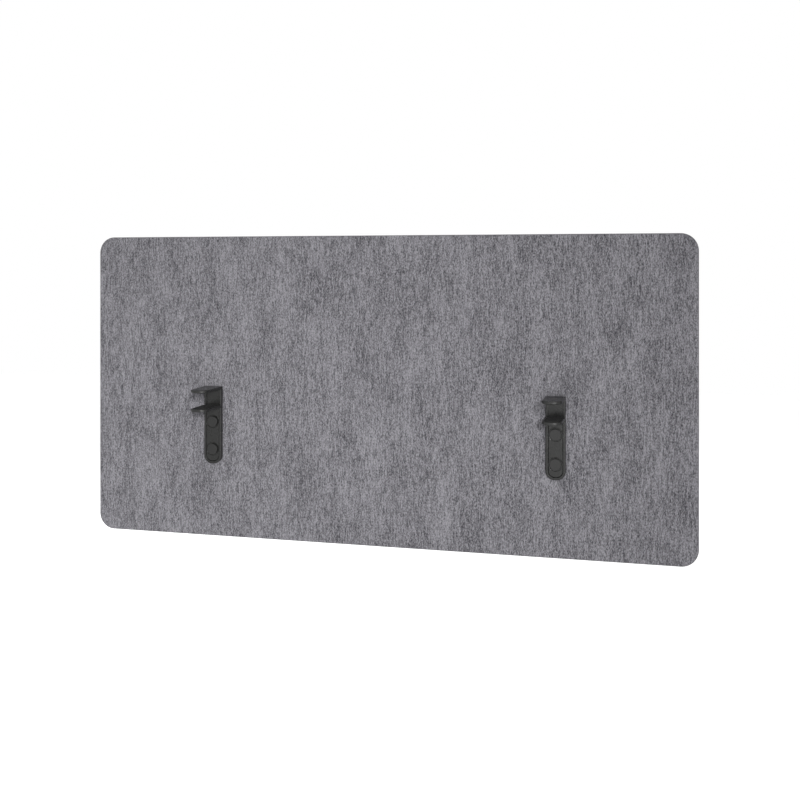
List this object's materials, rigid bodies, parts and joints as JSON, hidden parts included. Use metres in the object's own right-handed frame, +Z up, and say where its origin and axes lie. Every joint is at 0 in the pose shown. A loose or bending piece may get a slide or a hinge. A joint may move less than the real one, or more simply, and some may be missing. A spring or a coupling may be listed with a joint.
{
  "type": "acoustic divider screen",
  "caption": "Upright grey felt acoustic screen with rounded corners, held at a desk edge by black clamps with sliding lower jaws and round lock knobs.",
  "frame": {"origin": "middle of the screen's width, at the desk's edge (front of the clamp bodies) and the level of the desk top (underside of the upper pads)", "axes": "+X along the screen to the right, seen from the desk; -Y from the screen over the desk, as the jaws reach; +Z up"},
  "size_m": [1.2, 0.0888, 0.6],
  "materials": {
    "felt": "mottled grey pressed polyester felt, matt",
    "clamp_casting": "black powder coat, satin, fine grain",
    "pad_rubber": "matt black rubber",
    "knob_plastic": "black moulded plastic, fine spark grain",
    "zinc_steel": "bright zinc plate",
    "black_steel": "black oxide"
  },
  "bodies": {
    "screen": {"felt_sheet": "felt", "left_clamp_body": "clamp_casting", "left_upper_pad": "pad_rubber", "left_fixing_screws": "black_steel", "right_clamp_body": "clamp_casting", "right_upper_pad": "pad_rubber", "right_fixing_screws": "black_steel"},
    "left_jaw": {"left_lower_jaw": "clamp_casting", "left_lower_pad": "pad_rubber", "left_square_nuts": "zinc_steel"},
    "left_upper_knob": {"left_upper_lock_knob": "knob_plastic", "left_upper_lock_screw": "zinc_steel"},
    "left_lower_knob": {"left_lower_lock_knob": "knob_plastic", "left_lower_lock_screw": "zinc_steel"},
    "right_jaw": {"right_lower_jaw": "clamp_casting", "right_lower_pad": "pad_rubber", "right_square_nuts": "zinc_steel"},
    "right_upper_knob": {"right_upper_lock_knob": "knob_plastic", "right_upper_lock_screw": "zinc_steel"},
    "right_lower_knob": {"right_lower_lock_knob": "knob_plastic", "right_lower_lock_screw": "zinc_steel"}
  },
  "joints": [
    {"name": "left_jaw_slide", "type": "slide", "parent": "screen", "child": "left_jaw", "axis": [0, 0, 1], "range_m": [0, 0.018]},
    {"name": "left_upper_knob_turn", "type": "hinge", "parent": "left_jaw", "child": "left_upper_knob", "pos_m": [-0.3435, 0, -0.0637], "axis": [0, -1, 0], "range_deg": [0, 360]},
    {"name": "left_lower_knob_turn", "type": "hinge", "parent": "left_jaw", "child": "left_lower_knob", "pos_m": [-0.3435, 0, -0.1187], "axis": [0, -1, 0], "range_deg": [0, 360]},
    {"name": "right_jaw_slide", "type": "slide", "parent": "screen", "child": "right_jaw", "axis": [0, 0, 1], "range_m": [0, 0.018]},
    {"name": "right_upper_knob_turn", "type": "hinge", "parent": "right_jaw", "child": "right_upper_knob", "pos_m": [0.3435, 0, -0.0637], "axis": [0, -1, 0], "range_deg": [0, 360]},
    {"name": "right_lower_knob_turn", "type": "hinge", "parent": "right_jaw", "child": "right_lower_knob", "pos_m": [0.3435, 0, -0.1187], "axis": [0, -1, 0], "range_deg": [0, 360]}
  ]
}
